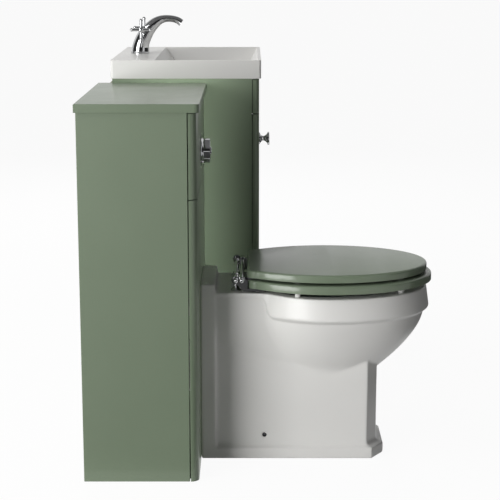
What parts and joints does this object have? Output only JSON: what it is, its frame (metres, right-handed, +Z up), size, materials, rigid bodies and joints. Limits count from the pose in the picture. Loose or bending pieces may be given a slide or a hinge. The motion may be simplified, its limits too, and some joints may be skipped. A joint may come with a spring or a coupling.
{
  "type": "combination vanity toilet unit",
  "caption": "Fitted bathroom unit: back-to-wall toilet with concealed cistern cabinet beside a vanity cabinet with inset basin and mixer tap.",
  "frame": {"origin": "on the floor under the middle of the whole unit's box", "axes": "+X to the right along the wall, front towards -Y, wall at +Y, +Z up"},
  "size_m": [1, 0.777, 0.9709],
  "materials": {
    "green_board": "satin painted board",
    "green_worktop": "satin painted board",
    "carcass_board": "faced board",
    "softwood": "planed timber",
    "zinc_steel": "zinc plated",
    "chrome": "polished chrome",
    "white_plastic": "moulded",
    "rubber": "moulded",
    "seat_paint": "satin painted board",
    "buffer_rubber": "moulded",
    "sanitary_ceramic": "glossy white glaze"
  },
  "bodies": {
    "cabinet": {"basin": "sanitary_ceramic", "bottle_trap": "chrome", "button_bezel": "chrome", "button_nut": "white_plastic", "cistern_brackets": "zinc_steel", "cistern_cover": "white_plastic", "cistern_tank": "white_plastic", "connector_bolts": "zinc_steel", "fill_valve": "white_plastic", "flush_air_hose": "white_plastic", "flush_cone": "rubber", "flush_pipe": "white_plastic", "flush_valve_body": "white_plastic", "hinge_frame_leaves": "zinc_steel", "hinge_pillars": "chrome", "hinge_rod": "chrome", "pan_connector": "white_plastic", "pan_fixing_screws": "zinc_steel", "pan_floor_brackets": "white_plastic", "shelf_pins": "zinc_steel", "tap_body": "chrome", "tap_fixing": "white_plastic", "toilet_pan": "sanitary_ceramic", "trap_outlet": "chrome", "vanity_back_rails": "carcass_board", "vanity_bottom": "carcass_board", "vanity_fascia": "green_board", "vanity_front_rail": "carcass_board", "vanity_left_side": "green_board", "vanity_right_side": "green_board", "vanity_shelf": "carcass_board", "wall_battens": "softwood", "waste_body": "chrome", "waste_nut": "white_plastic", "wc_access_panel": "green_board", "wc_back_rails": "carcass_board", "wc_front_rails": "carcass_board", "wc_left_side": "green_board", "wc_lower_panel": "green_board", "wc_right_side": "carcass_board", "wc_worktop": "green_worktop"},
    "seat": {"seat_ring": "seat_paint", "seat_buffers": "buffer_rubber", "seat_hinge_arms": "chrome", "lid_hinge_rod": "chrome"},
    "lid": {"seat_lid": "seat_paint", "lid_buffers": "buffer_rubber", "lid_hinge_arms": "chrome"},
    "door": {"vanity_door": "green_board", "door_knob": "chrome", "hinge_door_leaves": "zinc_steel"},
    "full_flush": {"full_flush_button": "chrome"},
    "half_flush": {"half_flush_button": "chrome"},
    "flush_lift": {"flush_plunger": "white_plastic", "flush_seal": "rubber"},
    "float": {"fill_valve_float": "white_plastic"},
    "hot_handle": {"tap_handle_hot": "chrome"},
    "cold_handle": {"tap_handle_cold": "chrome"},
    "plug": {"waste_plug": "chrome"}
  },
  "joints": [
    {"name": "seat_hinge", "type": "hinge", "parent": "cabinet", "child": "seat", "pos_m": [-0.25, 0.0555, 0.42], "axis": [-1, 0, 0], "range_deg": [0, 93]},
    {"name": "lid_hinge", "type": "hinge", "parent": "seat", "child": "lid", "pos_m": [-0.25, 0.0425, 0.42], "axis": [1, 0, 0], "range_deg": [-95, 0]},
    {"name": "door_hinge", "type": "hinge", "parent": "cabinet", "child": "door", "pos_m": [0.496, 0.01875, 0.37], "axis": [0, 0, 1], "range_deg": [0, 105]},
    {"name": "full_flush_press", "type": "slide", "parent": "cabinet", "child": "full_flush", "axis": [0, 1, 0], "range_m": [0, 0.005], "stiffness_N_per_m": 600},
    {"name": "half_flush_press", "type": "slide", "parent": "cabinet", "child": "half_flush", "axis": [0, 1, 0], "range_m": [0, 0.005], "stiffness_N_per_m": 400},
    {"name": "flush_valve_lift", "type": "slide", "parent": "cabinet", "child": "flush_lift", "axis": [0, 0, 1], "range_m": [0, 0.02]},
    {"name": "float_rise", "type": "slide", "parent": "cabinet", "child": "float", "axis": [0, 0, 1], "range_m": [0, 0.04]},
    {"name": "hot_turn", "type": "hinge", "parent": "cabinet", "child": "hot_handle", "pos_m": [0.195, 0.2985, 0.936], "axis": [-1, 0, 0], "range_deg": [0, 90]},
    {"name": "cold_turn", "type": "hinge", "parent": "cabinet", "child": "cold_handle", "pos_m": [0.305, 0.2985, 0.936], "axis": [1, 0, 0], "range_deg": [0, 90]},
    {"name": "plug_lift", "type": "slide", "parent": "cabinet", "child": "plug", "axis": [0, 0, 1], "range_m": [0, 0.008]}
  ],
  "couplings": [
    {"joint": "flush_valve_lift", "follows": "full_flush_press", "ratio": 4}
  ]
}
